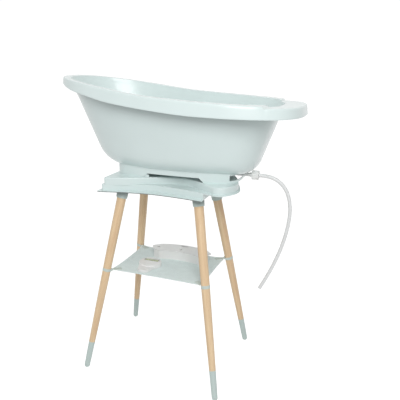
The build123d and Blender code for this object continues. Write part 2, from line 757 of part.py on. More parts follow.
def make_plug(seat_z):
    """The stopper: a disc with a stem in the strainer and an upright finger pull."""
    disc = Pos(0, 0, seat_z) * extrude(Circle(plug_radius), plug_thickness)
    stem = Pos(0, 0, seat_z - plug_stem_length) * extrude(Circle(plug_stem_radius), plug_stem_length)
    pull = Box(plug_pull_width, plug_pull_thickness, plug_pull_height,
               align=(Align.CENTER, Align.CENTER, Align.MIN))
    pull = fillet(pull.edges().group_by(Axis.Z)[-1].filter_by(Axis.Y), plug_pull_width / 3)
    pull_z = seat_z + plug_thickness
    eye = Pos(0, 0, pull_z + plug_pull_height - plug_pull_width / 2) * Rot(90, 0, 0)
    eye = eye * extrude(Circle(plug_pull_hole_radius), plug_pull_thickness, both=True)
    nodes["drain_plug"] = tub_place * Pos(drain_x, 0, 0) * (disc + stem + Pos(0, 0, pull_z) * pull - eye)


def make_coupling():
    """The ribbed nut, its washer and the hose tail that it clamps to the spigot."""
    nut_end = nut_start_x + nut_length
    grips = Circle(nut_radius)
    for grip in range(nut_grip_count):
        angle = 2 * math.pi * grip / nut_grip_count
        centre = nut_radius - nut_grip_depth + nut_grip_radius
        grips = grips - Pos(centre * math.cos(angle), centre * math.sin(angle)) * Circle(nut_grip_radius)
    nut = Pos(nut_start_x, 0, nozzle_height) * Rot(0, 90, 0) * extrude(grips, nut_length)
    thread_end = nut_end - nut_back_thickness
    nut = nut - x_tube(spigot_thread_radius + thread_gap, 0, nut_start_x - overrun, thread_end)
    nut = nut - x_tube(tail_radius + part_gap, 0, nut_start_x, nut_end + overrun)
    nodes["hose_nut"] = tub_place * nut
    washer_end = spigot_end_x + washer_thickness
    washer = x_tube(spigot_thread_radius, nozzle_bore_radius, spigot_end_x, washer_end)
    nodes["hose_washer"] = tub_place * washer
    flange_end = washer_end + tail_flange_thickness
    tail_end = nut_end + hose_start_gap + tail_barb_length
    tail = x_tube(spigot_thread_radius, tail_bore_radius, washer_end, flange_end)
    tail = tail + x_tube(tail_radius, tail_bore_radius, flange_end, tail_end)
    barb_pitch = tail_barb_length / (tail_barb_count + 1)
    for barb in range(tail_barb_count):
        start = nut_end + (barb + 1) * barb_pitch
        tail = tail + x_tube(tail_radius + tail_barb_height, tail_bore_radius, start, start + barb_pitch / 2)
    nodes["hose_tail"] = tub_place * tail


def make_hose():
    """The hose along straight runs joined by arcs; its volume is compared with section times length."""
    radii = eased_radii(hose_route)
    path = FilletPolyline(*hose_route, radius=radii)
    start = Plane(origin=path @ 0, z_dir=path % 0)
    section = start * (Circle(hose_radius) - Circle(hose_bore_radius))
    hose = sweep(section, path=path)
    expected = math.pi * (hose_radius ** 2 - hose_bore_radius ** 2) * path.length
    print("hose bends", [round(radius) for radius in radii], "length", round(path.length, 1))
    print("hose volume", round(hose.volume), "section times length", round(expected))
    nodes["drain_hose"] = hose


# Accessory holder

def holder_faces():
    """The holder's deck outline and the smaller outline of its walls."""
    back = ThreePointArc((holder_back_corner_x, holder_back_corner_y), (0, holder_back_y),
                         (-holder_back_corner_x, holder_back_corner_y))
    front = ThreePointArc((-holder_front_bulge_x, holder_front_bulge_y), (0, holder_front_y),
                          (holder_front_bulge_x, holder_front_bulge_y))
    sides = []
    for side in (-1, 1):
        sides.append(Polyline((side * holder_back_corner_x, holder_back_corner_y),
                              (side * holder_tip_x, holder_tip_y),
                              (side * holder_front_corner_x, holder_front_corner_y),
                              (side * holder_front_bulge_x, holder_front_bulge_y)))
    deck = make_face([back, front] + sides)
    by_reach = {holder_back_corner_x: holder_corner_round, holder_tip_x: holder_tip_round,
                holder_front_corner_x: holder_tip_round, holder_front_bulge_x: holder_bulge_round}
    for reach, radius in by_reach.items():
        corners = [vertex for vertex in deck.vertices() if abs(abs(vertex.X) - reach) < part_gap]
        deck = fillet(corners, radius)
    trim = Rectangle(2 * holder_front_corner_x, 2 * holder_tip_x)
    return deck, deck & trim


def make_holder():
    deck, body = holder_faces()
    plate = slab(deck, holder_height - holder_wall, holder_height)
    inner = offset(body, amount=-holder_inset / 2)
    core = offset(body, amount=-holder_inset / 2 - holder_wall)
    walls = slab(inner - core, 0, holder_height - holder_wall)
    holder = plate + walls
    holes = [(-holder_hole_pitch, holder_side_hole_y), (0, holder_hole_y),
             (holder_hole_pitch, holder_side_hole_y)]
    for x, y in holes:
        holder = holder - Pos(x, y, 0) * extrude(Circle(holder_hole_radius), holder_height + overrun)
    slot = Pos(0, holder_slot_y) * SlotOverall(holder_slot_length, holder_slot_width)
    holder = holder - slab(slot, holder_height - 2 * holder_wall, holder_height + overrun)
    groove = SlotOverall(holder_groove_length, holder_groove_width, rotation=90)
    groove = Pos(holder_groove_x, holder_groove_y) * groove
    holder = holder - slab(groove, holder_height - holder_groove_depth, holder_height + overrun)
    place = Pos(stand_x + holder_x, stand_y + holder_y, shelf_rest_z)
    nodes["accessory_holder"] = place * holder


# Bath thermometer

def thermo_face(inset):
    """The thermometer's outline: its round head and tapered tongue."""
    head = Circle(thermo_radius - inset)
    start_half = thermo_tongue_half_width - inset
    tip_half = thermo_tip_half_width - inset
    tip_y = thermo_tip_y + inset
    points = [(start_half, thermo_tongue_start_y), (tip_half, tip_y), (-tip_half, tip_y),
              (-start_half, thermo_tongue_start_y)]
    tongue = make_face(Polyline(*points, close=True))
    tip_corners = tongue.vertices().group_by(Axis.Y)[0]
    return head, head + fillet(tip_corners, thermo_tip_round - inset)


def make_thermometer():
    place = Pos(stand_x + thermo_x, stand_y + thermo_y, shelf_rest_z)
    head, whole = thermo_face(0)
    head_core, whole_core = thermo_face(thermo_wall)
    split_z = thermo_back_height
    top_z = split_z + thermo_front_height
    tongue_z = split_z + thermo_tongue_front_height
    ceiling_z = top_z - thermo_wall - lens_thickness / 2
    back = slab(whole, 0, split_z)
    back = fillet(back.edges().group_by(Axis.Z)[0], thermo_lip)
    back = back - slab(whole_core, thermo_wall, split_z + overrun)
    front = slab(head, split_z, top_z)
    front = fillet(front.edges().group_by(Axis.Z)[-1], thermo_edge_round)
    front = front + slab(whole, split_z, tongue_z)
    front = front - slab(head_core, split_z - overrun, ceiling_z)
    front = front - slab(whole_core, split_z - overrun, tongue_z - thermo_wall)
    lens_face, lens_hole, view_face = [
        Pos(0, lens_y) * RectangleRounded(lens_width + 2 * margin, lens_depth + 2 * margin, corner)
        for margin, corner in ((0, lens_round), (slide_gap, lens_round), (-display_margin, lens_round / 2))]
    front = front - slab(lens_hole, top_z - lens_thickness, top_z + overrun)
    front = front - slab(view_face, split_z, top_z)
    lens = slab(lens_face, top_z - lens_thickness, top_z - slide_gap)
    display_z = ceiling_z - part_gap - display_thickness
    board_z = display_z - board_thickness
    display_face = Pos(0, lens_y) * Rectangle(lens_width, lens_depth)
    display = slab(display_face, display_z, display_z + display_thickness)
    board = Pos(0, board_y) * Rectangle(board_width, board_depth)
    board = slab(board, board_z, board_z + board_thickness)
    cell_z = board_z - cell_thickness
    cell = Pos(0, cell_y, cell_z) * extrude(Circle(cell_radius), cell_thickness)
    door_hole = Pos(0, cell_y, 0) * extrude(Circle(door_radius + slide_gap), door_thickness)
    cell_hole = Pos(0, cell_y, 0) * extrude(Circle(seal_radius - 2 * seal_section_radius), split_z)
    door = Pos(0, cell_y, 0) * extrude(Circle(door_radius), door_thickness)
    slot = Pos(0, cell_y) * SlotOverall(door_slot_length, door_slot_width)
    door = door - slab(slot, -overrun, door_slot_depth)
    seal_z = thermo_wall + cell_thickness / 4
    seal = Pos(0, cell_y, seal_z) * Torus(seal_radius, seal_section_radius)
    collar = tube(door_radius + slide_gap, seal_radius + seal_section_radius + slide_gap,
                  seal_z - thermo_wall + seal_section_radius)
    back = back + Pos(0, cell_y, thermo_wall) * collar - door_hole - cell_hole
    probe = Pos(0, probe_y, part_gap) * extrude(Circle(probe_radius), tongue_z - thermo_wall - 2 * part_gap)
    probe_hole = Pos(0, probe_y, 0) * extrude(Circle(probe_radius + slide_gap / 2), split_z)
    back = back - probe_hole
    screws = []
    for angle in thermo_screw_angles:
        x = thermo_screw_ring * math.cos(math.radians(angle))
        y = thermo_screw_ring * math.sin(math.radians(angle))
        hole = extrude(Circle(thermo_screw_radius + slide_gap), split_z)
        sink = extrude(Circle(thermo_screw_head_radius + slide_gap), thermo_screw_head_height)
        back = back - Pos(x, y, 0) * (hole + sink)
        back = back + Pos(x, y, thermo_wall) * tube(thermo_boss_radius, thermo_screw_radius + slide_gap,
                                                    split_z - thermo_wall)
        stub = Pos(x, y, split_z) * tube(thermo_boss_radius, thermo_screw_radius + slide_gap / 2,
                                         thermo_front_height - thermo_wall - lens_thickness / 4)
        front = front + stub
        shank = Pos(0, 0, thermo_screw_head_height) * extrude(Circle(thermo_screw_radius), thermo_screw_length)
        head_disc = extrude(Circle(thermo_screw_head_radius), thermo_screw_head_height)
        recess = extrude(Circle(thermo_screw_radius / 2), thermo_screw_head_height / 2)
        screws.append(place * Pos(x, y, 0) * (shank + head_disc - recess))
    nodes["thermometer_back"] = place * back
    nodes["thermometer_front"] = place * front
    nodes["thermometer_lens"] = place * lens
    nodes["thermometer_display"] = place * display
    nodes["thermometer_board"] = place * board
    nodes["thermometer_cell"] = place * cell
    nodes["battery_door"] = place * door
    nodes["battery_seal"] = place * seal
    nodes["thermometer_probe"] = place * probe
    nodes["thermometer_screws"] = Compound(screws)


make_legs()
make_socket_screws()
make_tray()
make_tabs()
make_shelf()
make_tub()
make_drain()
make_coupling()
make_hose()
make_holder()
make_thermometer()
for node_name, shape in nodes.items():
    export_step(shape, "parts/" + node_name + ".step")
print(len(nodes), "nodes written")
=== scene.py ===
import math

import bmesh
import bpy
from mathutils import Matrix, Vector


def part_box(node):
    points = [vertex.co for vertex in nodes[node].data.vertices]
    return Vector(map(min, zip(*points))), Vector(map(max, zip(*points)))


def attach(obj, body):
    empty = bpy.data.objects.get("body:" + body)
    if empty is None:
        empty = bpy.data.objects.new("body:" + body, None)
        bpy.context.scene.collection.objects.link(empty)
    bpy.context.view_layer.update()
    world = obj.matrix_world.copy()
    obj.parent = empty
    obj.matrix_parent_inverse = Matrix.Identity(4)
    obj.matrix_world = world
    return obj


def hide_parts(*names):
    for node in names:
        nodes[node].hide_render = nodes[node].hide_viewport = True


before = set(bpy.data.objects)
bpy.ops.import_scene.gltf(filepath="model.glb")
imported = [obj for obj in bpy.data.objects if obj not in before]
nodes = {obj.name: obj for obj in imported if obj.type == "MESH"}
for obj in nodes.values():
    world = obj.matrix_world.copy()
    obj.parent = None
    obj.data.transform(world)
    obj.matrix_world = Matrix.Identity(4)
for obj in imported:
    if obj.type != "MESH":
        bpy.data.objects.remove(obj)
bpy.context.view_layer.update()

# Places taken from the frame, in metres
seat_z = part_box("tub_base_ring")[0].z
tub_y = (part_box("tub_base_ring")[0].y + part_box("tub_base_ring")[1].y) / 2
shelf_low, shelf_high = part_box("shelf_sheet")
corners = ["front_left", "front_right", "back_right", "back_left"]

# Camera: the photograph's view of the stand
photo_size = 400
photo_focal = 477.2
camera_place = (0.7036, -1.7793, 1.2795)
camera_azimuth = 22.54
camera_tilt = 21.51
photo_centre = (169.5, 248.0)
sensor_width = 36.0

# Tub skin, measured from the seat of its base ring
floor_rise = 0.028
tub_wall = 0.003
# A wall's reach at the floor, its outward slope, and the radius of its bend into the floor
walls = {"head": (0.305, 0.4375, 0.130), "foot": (0.314, 0.345, 0.060), "side": (0.155, 0.22, 0.080)}
head_power = 2.4
foot_power = 3.0
rim_reach = {"head": 0.480, "foot": 0.463, "side": 0.238}
rim_flare = 0.15
rim_head_z = 0.373
rim_line_points = [(-0.4992, 0.37474), (-0.3197, 0.35125), (-0.1795, 0.33124), (-0.0499, 0.31384),
                   (0.0749, 0.30427), (0.2208, 0.29557), (0.366, 0.28861)]
skirt_line_points = [(-0.4992, 0.3549), (-0.4301, 0.3387), (-0.3725, 0.3229), (-0.2976, 0.3085),
                     (-0.1795, 0.2862), (0.0797, 0.2571), (0.24, 0.2494), (0.384, 0.2460),
                     (0.4992, 0.2455)]
recess_start = 0.366
recess_run = 0.007
recess_depth = 0.007
rim_round = 0.005
lip_round = 0.004
skirt_wall = 0.003
skirt_edge = [(0.0, 0.0010), (0.0004, 0.0003), (0.0012, 0.0), (skirt_wall - 0.0008, 0.0),
              (skirt_wall, 0.0008)]
deck_wall = 0.003
under_deck_start = 0.002
drain_place = (0.212, 0.0)
drain_radius = 0.016
drain_edge = 0.0008
drain_apron = 0.011

# Tub mesh: a ring's points, which of them follow the recess's lines, and the rings' shares of a wall's height
around_count = 240
knots = [recess_start + recess_run + 0.003, recess_start + recess_run * 0.75,
         recess_start + recess_run * 0.25, recess_start - 0.003]
knot_steps = [22, 23, 24, 25]
knot_reach = 0.975
knot_gap = 0.02
wall_height_guess = 0.26
wall_shares = [0.0, 0.012, 0.028, 0.05, 0.075, 0.105, 0.14, 0.18, 0.225, 0.275, 0.33, 0.4, 0.48, 0.56, 0.64,
               0.72, 0.8, 0.87, 0.93, 0.965]
shadow_shares = [0.62, 0.66, 0.7, 0.74, 0.76, 0.78, 0.82, 0.84, 0.86, 0.88, 0.9]

# The rim's shadow on the wall under it: how deep each part of it is, and the distance over which it fades
rim_shadows = [(0.42, 0.008), (0.12, 0.035)]

# Hose: its route repeats the part's listed points
hose_radius = 0.007
hose_bore_radius = 0.0053
mouth_round = 0.0004
mouth_depth = 0.03
mouth_sides = 32
hose_route = [(0.3294, 0.0150, 0.8685), (0.3674, 0.0150, 0.8685), (0.4031, 0.0152, 0.8555),
              (0.4314, 0.0158, 0.8301), (0.4504, 0.0166, 0.7927), (0.4591, 0.0176, 0.7434),
              (0.4571, 0.0184, 0.6875), (0.4478, 0.0188, 0.6282), (0.4328, 0.0184, 0.5680),
              (0.4125, 0.0170, 0.5073), (0.3892, 0.0148, 0.4498), (0.3647, 0.0124, 0.3972)]

# Shelf cloth
cloth_corner = (0.207, 0.154)
cloth_edge = (0.198, 0.146)
cloth_rise = 0.0030
cloth_flare_power = 8
cloth_thickness = 0.0014
hem_thickness = 0.0026
side_hem = 0.020
end_hem = 0.010
hem_top = shelf_low.z + cloth_thickness + (hem_thickness - cloth_thickness) / 2
seam_round = 0.0012
cloth_steps = (64, 48)
seam_steps = 24

# Seams along the sides and the ends: their share of the way into the hem, and the share left free at a corner
side_seam = (0.82, 0.07)
end_seam = (0.75, 0.06)
crease_ends = ((0.015, 0.130), (0.026, -0.156))
crease_height = 0.0011
crease_width = 0.0030

# Shelf straps, on the legs' own axes
leg_foot_reach = (0.300, 0.246)
leg_top_reach = (0.161, 0.1045)
leg_top_rise = 0.785
strap_z = 0.457
strap_radius = 0.0163
strap_height = 0.0125
strap_thickness = 0.0015
strap_steps = 44
neck_reach = 0.031
neck_height = 0.004
neck_gap = 0.55
neck_steps = 8
webbing_profile = [(-0.5, 0.45), (-0.47, 0.85), (-0.4, 1.0), (0.4, 1.0), (0.47, 0.85), (0.5, 0.45),
                   (0.5, -0.45), (0.47, -0.85), (0.4, -1.0), (-0.4, -1.0), (-0.47, -0.85), (-0.5, -0.45)]
tongue_start = 0.027
tongue_end = 0.0635
tongue_half_width = 0.011
tongue_round = 0.0011
tongue_round_steps = [0.0, 0.3, 0.7, 1.0]
tongue_sink = 0.0003
box_seam_start = 0.009
box_seam_end = 0.003
box_seam_half_width = 0.0085
stitch_length = 0.0026
stitch_pitch = 0.0038
stitch_radius = 0.0003
stitch_sides = 6
stitch_profile = [(-0.5, 0.3), (-0.36, 1.0), (0.36, 1.0), (0.5, 0.3)]
cross_pairs = [(0, 1), (1, 2), (2, 3), (3, 0), (0, 2), (1, 3)]

# Thermometer display
digit_text = "36.8"
digit_width = 0.0072
digit_height = 0.0115
digit_pitch = 0.0108
segment_width = 0.0012
segment_rise = 0.0001
segment_gap = 0.6

# Middle of the stand, at the floor
stand_middle = Vector(((shelf_low.x + shelf_high.x) / 2, (shelf_low.y + shelf_high.y) / 2, 0))

# Colours, linear
mint = (0.700, 0.800, 0.790)
socket_mint = (0.650, 0.760, 0.730)
cap_mint = (0.560, 0.660, 0.635)
cloth_mint = (0.790, 0.890, 0.880)
strap_mint = (0.620, 0.700, 0.655)
off_white = (0.860, 0.860, 0.850)
hose_white = (0.780, 0.790, 0.790)
rubber_grey = (0.26, 0.28, 0.28)
display_green = (0.50, 0.53, 0.33)
board_green = (0.02, 0.12, 0.05)
steel_grey = (0.60, 0.60, 0.61)
brass_yellow = (0.62, 0.46, 0.16)
ink_black = (0.035, 0.040, 0.030)
window_clear = (0.97, 0.98, 0.95)
floor_grey = (0.90, 0.90, 0.90)
wood_dark = (0.700, 0.480, 0.285)
wood_light = (0.880, 0.680, 0.440)
wood_fleck = (0.420, 0.225, 0.110)

# Finishes: how far gloss, colour and height vary over a surface
plastic_cloud = 7.0
plastic_gloss_drift = 0.05
plastic_bump = 0.35
coat_roughness = 0.12
metal_gloss = (-0.08, 0.10)
wood_stretch = 0.06
wood_bands = 75.0
wood_band_range = (0.30, 0.72)
wood_cloud = 5.0
wood_tones = (0.93, 1.06)
wood_roughness = (0.42, 0.56)
wood_bump = (0.4, 0.00006)
wood_coat = (0.12, 0.35)
fleck_stretch = 0.16
fleck_scale = 520.0
fleck_range = (0.05, 0.35)
fleck_share = 0.22
weave_tones = (0.90, 1.12)
weave_cloud = 35.0
weave_bump = (0.5, 0.0001)
weave_sheen = (0.25, 0.5)
wave_texture_factor = 20
window_haze = 90.0
window_roughness = (0.03, 0.08)
window_ior = 1.1

# Stage and light: a lamp's name, place, size and power
floor_size = 30
floor_roughness = 0.9
floor_gloss = 0.1
floor_glow_share = 0.75
floor_glow = 1.34
world_levels = (0.42, 1.05)
lamp_target = Vector((0, 0, 0.8))
lamps = [("key", (0.6, -0.9, 3.5), 1.2, 10.0), ("front", (1.0, -2.4, 2.5), 1.3, 44.0),
         ("side", (-2.6, -1.2, 1.8), 1.6, 3.0)]


# Node materials

def start_material(name):
    material = bpy.data.materials.new(name)
    material.use_nodes = True
    tree = material.node_tree
    return material, tree, tree.nodes["Principled BSDF"]


def add(tree, kind, **values):
    """A node with its settings and unlinked inputs set; a tuple of (node, socket) is linked."""
    node = tree.nodes.new(kind)
    for key, value in values.items():
        if hasattr(node, key) and not key[0].isupper():
            setattr(node, key, value)
            continue
        socket = node.inputs[int(key[1:])] if key[1:].isdigit() else node.inputs[key.replace("_", " ")]
        if isinstance(value, tuple) and value and isinstance(value[0], bpy.types.Node):
            tree.links.new(value[0].outputs[value[1]], socket)
        else:
            socket.default_value = value
    return node


def tint(color, factor):
    return tuple(min(1.0, channel * factor) for channel in color) + (1.0,)


def lower_and_upper(levels):
    return {"To_Min": levels[0], "To_Max": levels[1]}


def plastic(name, color, roughness, grain_scale=900.0, grain_depth=0.00002, drift=0.04, coat=0.0):
    """Moulded plastic: a slight drift of colour and gloss, and a fine grain."""
    material, tree, shader = start_material(name)
    place = add(tree, "ShaderNodeTexCoord")
    cloud = add(tree, "ShaderNodeTexNoise", Vector=(place, "Object"), Scale=plastic_cloud, Detail=3.0)
    ramp = add(tree, "ShaderNodeMix", data_type="RGBA", Factor=(cloud, "Fac"))
    ramp.inputs[6].default_value = tint(color, 1 - drift)
    ramp.inputs[7].default_value = tint(color, 1 + drift)
    tree.links.new(ramp.outputs[2], shader.inputs["Base Color"])
    gloss = add(tree, "ShaderNodeMapRange", Value=(cloud, "Fac"), To_Min=roughness - plastic_gloss_drift,
                To_Max=roughness + plastic_gloss_drift)
    tree.links.new(gloss.outputs[0], shader.inputs["Roughness"])
    grain = add(tree, "ShaderNodeTexNoise", Vector=(place, "Object"), Scale=grain_scale, Detail=2.0)
    bump = add(tree, "ShaderNodeBump", Strength=plastic_bump, Distance=grain_depth, Height=(grain, "Fac"))
    tree.links.new(bump.outputs[0], shader.inputs["Normal"])
    shader.inputs["Coat Weight"].default_value = coat
    shader.inputs["Coat Roughness"].default_value = coat_roughness
    return material


def shade_below(material, bottom, top, low, high, facing=None):
    """Darken a plastic's colour between two heights, as the tray's shadow does.

    The colour is multiplied by low under the bottom and by high over the top. facing keeps it to the front:
    it is the most that the normal's y may be.
    """
    tree = material.node_tree
    shader = tree.nodes["Principled BSDF"]
    before = shader.inputs["Base Color"].links[0].from_socket
    place = add(tree, "ShaderNodeNewGeometry")
    split = add(tree, "ShaderNodeSeparateXYZ", Vector=(place, "Position"))
    level = add(tree, "ShaderNodeMapRange", Value=(split, "Z"), From_Min=bottom, From_Max=top,
                To_Min=low, To_Max=high)
    if facing is not None:
        front = add(tree, "ShaderNodeSeparateXYZ", Vector=(place, "True Normal"))
        share = add(tree, "ShaderNodeMapRange", Value=(front, "Y"), From_Min=facing, From_Max=facing / 3,
                    To_Min=1.0, To_Max=0.0)
        full = add(tree, "ShaderNodeMath", operation="SUBTRACT", _0=1.0, _1=(level, 0))
        level = add(tree, "ShaderNodeMath", operation="MULTIPLY_ADD", _0=(full, 0), _2=1.0)
        turned = add(tree, "ShaderNodeMath", operation="MULTIPLY", _0=(share, 0), _1=-1.0)
        tree.links.new(turned.outputs[0], level.inputs[1])
    tone = add(tree, "ShaderNodeHueSaturation", Value=(level, 0))
    tree.links.new(before, tone.inputs["Color"])
    tree.links.new(tone.outputs[0], shader.inputs["Base Color"])


def shade_marked(material, mark):
    """Darken a plastic's colour by a mark on a mesh's points; meshes without it stay as they are."""
    tree = material.node_tree
    shader = tree.nodes["Principled BSDF"]
    before = shader.inputs["Base Color"].links[0].from_socket
    shadow = add(tree, "ShaderNodeAttribute", attribute_name=mark)
    level = add(tree, "ShaderNodeMath", operation="SUBTRACT", _0=1.0, _1=(shadow, "Fac"))
    tone = add(tree, "ShaderNodeHueSaturation", Value=(level, 0))
    tree.links.new(before, tone.inputs["Color"])
    tree.links.new(tone.outputs[0], shader.inputs["Base Color"])


def metal(name, color, roughness, scale=260.0):
    material, tree, shader = start_material(name)
    place = add(tree, "ShaderNodeTexCoord")
    streak = add(tree, "ShaderNodeTexNoise", Vector=(place, "Object"), Scale=scale, Detail=4.0)
    level = add(tree, "ShaderNodeMapRange", Value=(streak, "Fac"), To_Min=roughness + metal_gloss[0],
                To_Max=roughness + metal_gloss[1])
    tree.links.new(level.outputs[0], shader.inputs["Roughness"])
    shader.inputs["Base Color"].default_value = color + (1.0,)
    shader.inputs["Metallic"].default_value = 1.0
    return material


def wood(name, foot, top):
    """Turned beech: grain along the leg's own axis, short flecks and a satin coat."""
    material, tree, shader = start_material(name)
    place = add(tree, "ShaderNodeTexCoord")
    turn = (top - foot).to_track_quat("Z", "Y").to_euler()
    along = add(tree, "ShaderNodeMapping", vector_type="TEXTURE", Vector=(place, "Object"),
                Location=tuple(foot), Rotation=tuple(turn))
    stretch = add(tree, "ShaderNodeMapping", Vector=(along, "Vector"), Scale=(1.0, 1.0, wood_stretch))
    bands = add(tree, "ShaderNodeTexNoise", Vector=(stretch, "Vector"), Scale=wood_bands, Detail=5.0,
                Roughness=0.6, Distortion=0.6)
    broad = add(tree, "ShaderNodeTexNoise", Vector=(along, "Vector"), Scale=wood_cloud, Detail=2.0)
    flat = add(tree, "ShaderNodeMapping", Vector=(along, "Vector"), Scale=(1.0, 1.0, fleck_stretch))
    fleck = add(tree, "ShaderNodeTexVoronoi", Vector=(flat, "Vector"), Scale=fleck_scale)
    fleck_level = add(tree, "ShaderNodeMapRange", Value=(fleck, "Distance"), From_Min=fleck_range[0],
                      From_Max=fleck_range[1], To_Min=1.0, To_Max=0.0)
    base = add(tree, "ShaderNodeValToRGB", Fac=(bands, "Fac"))
    for element, position, color in zip(base.color_ramp.elements, wood_band_range, (wood_dark, wood_light)):
        element.position = position
        element.color = color + (1,)
    tone = add(tree, "ShaderNodeMapRange", Value=(broad, "Fac"), **lower_and_upper(wood_tones))
    grey = add(tree, "ShaderNodeHueSaturation", Value=(tone, 0), Color=(base, 0))
    dots = add(tree, "ShaderNodeMath", operation="MULTIPLY", _0=(fleck_level, 0), _1=fleck_share)
    flecked = add(tree, "ShaderNodeMix", data_type="RGBA", _0=(dots, 0), _6=(grey, 0))
    flecked.inputs[7].default_value = wood_fleck + (1,)
    tree.links.new(flecked.outputs[2], shader.inputs["Base Color"])
    level = add(tree, "ShaderNodeMapRange", Value=(bands, "Fac"), **lower_and_upper(wood_roughness))
    tree.links.new(level.outputs[0], shader.inputs["Roughness"])
    bump = add(tree, "ShaderNodeBump", Strength=wood_bump[0], Distance=wood_bump[1], Height=(bands, "Fac"))
    tree.links.new(bump.outputs[0], shader.inputs["Normal"])
    shader.inputs["Coat Weight"].default_value = wood_coat[0]
    shader.inputs["Coat Roughness"].default_value = wood_coat[1]
    return material


def woven(name, color, pitch, rough=0.85, ways="XY"):
    """Plain weave: threads crossing at a pitch, with a soft sheen; one way alone gives ribs."""
    material, tree, shader = start_material(name)
    place = add(tree, "ShaderNodeTexCoord")
    scale = 1 / (pitch * wave_texture_factor) * 2 * math.pi
    over, under = [add(tree, "ShaderNodeTexWave", bands_direction=way, Vector=(place, "Object"),
                       Scale=scale, Distortion=0.6, Detail=1.0) for way in (ways[0], ways[-1])]
    weave = add(tree, "ShaderNodeMath", operation="MAXIMUM", _0=(over, "Fac"), _1=(under, "Fac"))
    cloud = add(tree, "ShaderNodeTexNoise", Vector=(place, "Object"), Scale=weave_cloud, Detail=4.0)
    blend = add(tree, "ShaderNodeMath", operation="MULTIPLY", _0=(weave, 0), _1=(cloud, "Fac"))
    mix = add(tree, "ShaderNodeMix", data_type="RGBA", Factor=(blend, 0))
    mix.inputs[6].default_value = tint(color, weave_tones[0])
    mix.inputs[7].default_value = tint(color, weave_tones[1])
    tree.links.new(mix.outputs[2], shader.inputs["Base Color"])
    bump = add(tree, "ShaderNodeBump", Strength=weave_bump[0], Distance=weave_bump[1], Height=(weave, 0))
    tree.links.new(bump.outputs[0], shader.inputs["Normal"])
    shader.inputs["Roughness"].default_value = rough
    shader.inputs["Sheen Weight"].default_value = weave_sheen[0]
    shader.inputs["Sheen Roughness"].default_value = weave_sheen[1]
    return material


def window(name):
    material, tree, shader = start_material(name)
    place = add(tree, "ShaderNodeTexCoord")
    haze = add(tree, "ShaderNodeTexNoise", Vector=(place, "Object"), Scale=window_haze)
    level = add(tree, "ShaderNodeMapRange", Value=(haze, "Fac"), **lower_and_upper(window_roughness))
    tree.links.new(level.outputs[0], shader.inputs["Roughness"])
    shader.inputs["Base Color"].default_value = window_clear + (1,)
    shader.inputs["Transmission Weight"].default_value = 1.0
    shader.inputs["IOR"].default_value = window_ior
    return material


# Meshes

def make_object(name, mesh, material, body, smooth=True):
    piece = bpy.data.objects.new(name, mesh)
    bpy.context.scene.collection.objects.link(piece)
    mesh.materials.append(material)
    if smooth:
        mesh.polygons.foreach_set("use_smooth", [True] * len(mesh.polygons))
    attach(piece, body)
    return piece


def curve_at(points, x):
    """Height of a smooth line through points at x: Catmull-Rom pieces on uneven steps."""
    if x <= points[0][0]:
        return points[0][1]
    if x >= points[-1][0]:
        return points[-1][1]
    last = len(points) - 1
    slopes = []
    for index in range(len(points)):
        before, after = points[max(index - 1, 0)], points[min(index + 1, last)]
        slopes.append((after[1] - before[1]) / (after[0] - before[0]))
    for index in range(last):
        (x_a, z_a), (x_b, z_b) = points[index], points[index + 1]
        if x <= x_b:
            run = x_b - x_a
            share = (x - x_a) / run
            square, cube = share ** 2, share ** 3
            return ((2 * cube - 3 * square + 1) * z_a + (cube - 2 * square + share) * run * slopes[index]
                    + (3 * square - 2 * cube) * z_b + (cube - square) * run * slopes[index + 1])
    return points[-1][1]


def smooth_step(share):
    share = min(1.0, max(0.0, share))
    return share * share * (3 - 2 * share)


def rim_top(x):
    if x > recess_start:
        return rim_line_points[-1][1] - recess_depth * smooth_step((x - recess_start) / recess_run)
    return curve_at(rim_line_points, x)


def skirt_bottom(x):
    return curve_at(skirt_line_points, x)


def wall_reach(part, height, inset):
    """How far a wall reaches at a height over its floor, for the outer skin or one set in from it."""
    corner, slope, bend = walls[part]
    corner = corner - inset * math.hypot(1, slope) + slope * inset
    bend = bend - inset
    lean = math.atan(slope)
    tangent = bend * math.tan((math.pi / 2 - lean) / 2)
    height = max(0.0, height)
    if height < tangent * math.cos(lean):
        return corner - tangent + math.sqrt(max(0.0, bend ** 2 - (bend - height) ** 2))
    return corner + slope * height


def outline_point(turn, head, foot, side):
    """A point of the egg outline at a turn: a superellipse whose two ends differ."""
    along, across = math.cos(turn), math.sin(turn)
    reach = foot if along > 0 else head
    power = foot_power if along > 0 else head_power
    angle = math.atan2(across * side, along * reach)
    size = (abs(math.cos(angle) / reach) ** power + abs(math.sin(angle) / side) ** power) ** (-1 / power)
    return size * math.cos(angle), size * math.sin(angle)


def turn_at(x, head, foot, side):
    """The turn, from 0 to half a circle, where the outline crosses x."""
    low, high = 0.0, math.pi
    for _ in range(30):
        middle = (low + high) / 2
        if outline_point(middle, head, foot, side)[0] > x:
            low = middle
        else:
            high = middle
    return (low + high) / 2


def ring_turns(head, foot, side):
    """Turns for one ring, with some of them held at the recess's lines wherever the ring reaches that far."""
    half = around_count // 2
    held = [turn_at(min(x, foot * (knot_reach - knot_gap * order)), head, foot, side)
            for order, x in enumerate(knots)]
    stops = [0] + knot_steps + [half]
    values = [0.0] + held + [math.pi]
    turns = []
    for start, end, low, high in zip(stops, stops[1:], values, values[1:]):
        turns += [low + (high - low) * step / (end - start) for step in range(end - start)]
    return turns + [math.pi] + [-turn for turn in reversed(turns[1:])]


